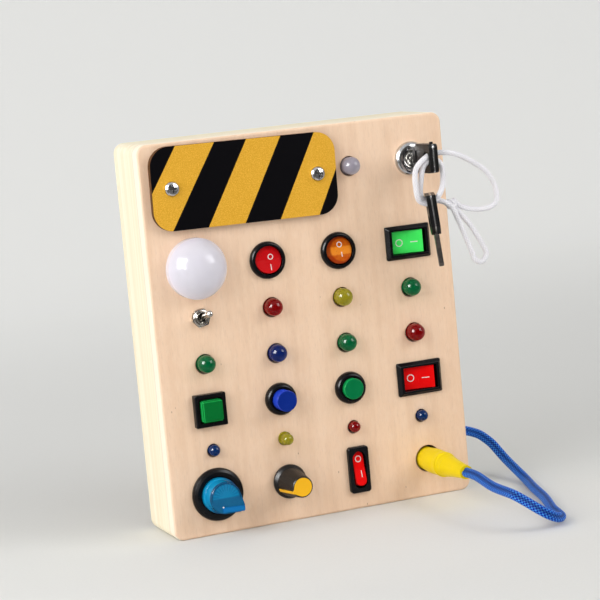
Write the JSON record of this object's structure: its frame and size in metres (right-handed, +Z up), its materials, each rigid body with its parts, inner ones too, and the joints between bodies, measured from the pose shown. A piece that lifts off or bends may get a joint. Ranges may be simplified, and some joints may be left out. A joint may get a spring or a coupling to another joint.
{
  "type": "wooden busy board",
  "caption": "Upright wooden box for a young child, its front set with rockers, push buttons, a toggle, a selector, a dial, a key lock, lamps and a plug on a braided lead",
  "frame": {"origin": "middle of the flat lower face the board stands on", "axes": "X to the right seen from the front, Y from the front face to the back, Z up along the board's height"},
  "size_m": [0.1674, 0.1279, 0.17],
  "materials": {
    "birch_face": "pale satin birch plywood",
    "birch_edge": "pale sanded edge",
    "back_ply": "raw plywood",
    "steel_screw": "bright plated",
    "grey_plastic": "satin",
    "key_steel": "nickel plated, lightly scratched",
    "cell_wrap": "printed sleeve, plain",
    "hazard_print": "printed plywood with black stripes",
    "chrome": "polished",
    "black_matte": "satin",
    "white_cord": "fine braid",
    "opal_lens": "frosted opal",
    "white_plastic": "satin",
    "clear_lens": "clear lamp lens",
    "red_lens": "tinted lamp lens",
    "yellow_lens": "tinted lamp lens",
    "green_lens": "tinted lamp lens",
    "blue_lens": "tinted lamp lens",
    "black_gloss": "glossy",
    "red_plastic": "glossy",
    "amber_plastic": "glossy, translucent",
    "bright_green": "glossy, lit",
    "green_plastic": "satin",
    "blue_plastic": "satin",
    "turquoise": "translucent satin",
    "yellow_plastic": "satin moulded",
    "brass_pin": "bright",
    "blue_cord": "shiny braid"
  },
  "bodies": {
    "board": {"front_panel": "birch_face", "frame": "birch_edge", "back_cover": "back_ply", "back_cover_screws": "steel_screw", "battery_box": "grey_plastic", "battery_contacts": "key_steel", "battery_cells": "cell_wrap", "hazard_plate": "hazard_print", "plate_screws": "steel_screw", "lock_housing": "chrome", "lock_nut": "chrome", "dome_lens": "opal_lens", "dome_base": "white_plastic", "lamp_clear": "clear_lens", "lamps_red": "red_lens", "lamp_yellow": "yellow_lens", "lamps_green": "green_lens", "lamp_blue": "blue_lens", "small_lamps_blue": "blue_lens", "small_lamp_yellow": "yellow_lens", "small_lamp_red": "red_lens", "red_round_housing": "black_gloss", "amber_round_housing": "black_gloss", "rectangular_housings": "black_gloss", "slim_housing": "black_gloss", "toggle_body": "chrome", "toggle_nut": "chrome", "square_button_housing": "black_gloss", "round_button_housings": "black_gloss", "black_nuts": "black_matte", "selector_housing": "black_gloss", "dial_body": "key_steel", "dial_nut": "chrome", "socket": "black_matte", "lead_board_side": "blue_cord", "lead_bush": "black_matte"},
    "lock_core": {"lock_cylinder": "chrome"},
    "key": {"key_blade": "key_steel", "key_head": "black_matte", "key_string": "white_cord"},
    "spare_key": {"spare_key_blade": "key_steel", "spare_key_head": "black_matte"},
    "red_round_rocker": {"red_round_rocker": "red_plastic"},
    "amber_round_rocker": {"amber_round_rocker": "amber_plastic"},
    "green_rocker": {"green_rocker": "bright_green"},
    "red_rocker": {"red_rocker": "red_plastic"},
    "slim_rocker": {"slim_rocker": "red_plastic"},
    "toggle_lever": {"toggle_lever": "chrome"},
    "square_button": {"square_button_cap": "green_plastic"},
    "blue_button": {"blue_button_cap": "blue_plastic"},
    "green_button": {"green_button_cap": "green_plastic"},
    "selector": {"selector_knob": "turquoise"},
    "dial": {"dial_shaft": "key_steel", "dial_knob": "black_matte", "dial_cap": "yellow_plastic"},
    "plug": {"plug_body": "yellow_plastic", "plug_pin": "brass_pin", "lead_plug_side": "blue_cord"},
    "battery_door": {"battery_door": "grey_plastic", "battery_door_screw": "steel_screw"}
  },
  "joints": [
    {"name": "key_turn", "type": "hinge", "parent": "board", "child": "lock_core", "pos_m": [0.0543, -0.0165, 0.1509], "axis": [0, 1, 0], "range_deg": [0, 90]},
    {"name": "key_pull", "type": "slide", "parent": "lock_core", "child": "key", "axis": [0, -1, 0], "range_m": [0, 0.012]},
    {"name": "spare_key_swing", "type": "hinge", "parent": "key", "child": "spare_key", "pos_m": [0.0526, -0.038, 0.1325], "axis": [0.93, -0.3584, 0.0814], "range_deg": [-25, 25]},
    {"name": "red_round_tip", "type": "hinge", "parent": "board", "child": "red_round_rocker", "pos_m": [-0.0168, -0.0162, 0.115], "axis": [1, 0, 0], "range_deg": [0, 20]},
    {"name": "amber_round_tip", "type": "hinge", "parent": "board", "child": "amber_round_rocker", "pos_m": [0.0162, -0.0162, 0.115], "axis": [1, 0, 0], "range_deg": [0, 20]},
    {"name": "green_rocker_tip", "type": "hinge", "parent": "board", "child": "green_rocker", "pos_m": [0.0494, -0.0143, 0.1147], "axis": [0, 0, 1], "range_deg": [0, 22]},
    {"name": "red_rocker_tip", "type": "hinge", "parent": "board", "child": "red_rocker", "pos_m": [0.0494, -0.0143, 0.054], "axis": [0, 0, 1], "range_deg": [0, 22]},
    {"name": "slim_rocker_tip", "type": "hinge", "parent": "board", "child": "slim_rocker", "pos_m": [0.0165, -0.0157, 0.0178], "axis": [1, 0, 0], "range_deg": [0, 24]},
    {"name": "toggle_throw", "type": "hinge", "parent": "board", "child": "toggle_lever", "pos_m": [-0.0495, -0.0169, 0.0945], "axis": [1, 0, 0], "range_deg": [0, 25]},
    {"name": "square_button_press", "type": "slide", "parent": "board", "child": "square_button", "axis": [0, 1, 0], "range_m": [0, 0.003], "stiffness_N_per_m": 400, "springref_m": -0.0005},
    {"name": "blue_button_press", "type": "slide", "parent": "board", "child": "blue_button", "axis": [0, 1, 0], "range_m": [0, 0.003], "stiffness_N_per_m": 400, "springref_m": -0.0005},
    {"name": "green_button_release", "type": "slide", "parent": "board", "child": "green_button", "axis": [0, 1, 0], "range_m": [-0.0033, 0]},
    {"name": "selector_turn", "type": "hinge", "parent": "board", "child": "selector", "pos_m": [-0.0496, -0.0165, 0.0177], "axis": [0, 1, 0], "range_deg": [-90, 0]},
    {"name": "dial_turn", "type": "hinge", "parent": "board", "child": "dial", "pos_m": [-0.0166, -0.0165, 0.0181], "axis": [0, 1, 0], "range_deg": [-35, 265]},
    {"name": "plug_pull", "type": "slide", "parent": "board", "child": "plug", "axis": [0, -1, 0], "range_m": [0, 0.015]},
    {"name": "battery_door_off", "type": "slide", "parent": "board", "child": "battery_door", "axis": [0, 1, 0], "range_m": [0, 0.012]}
  ]
}
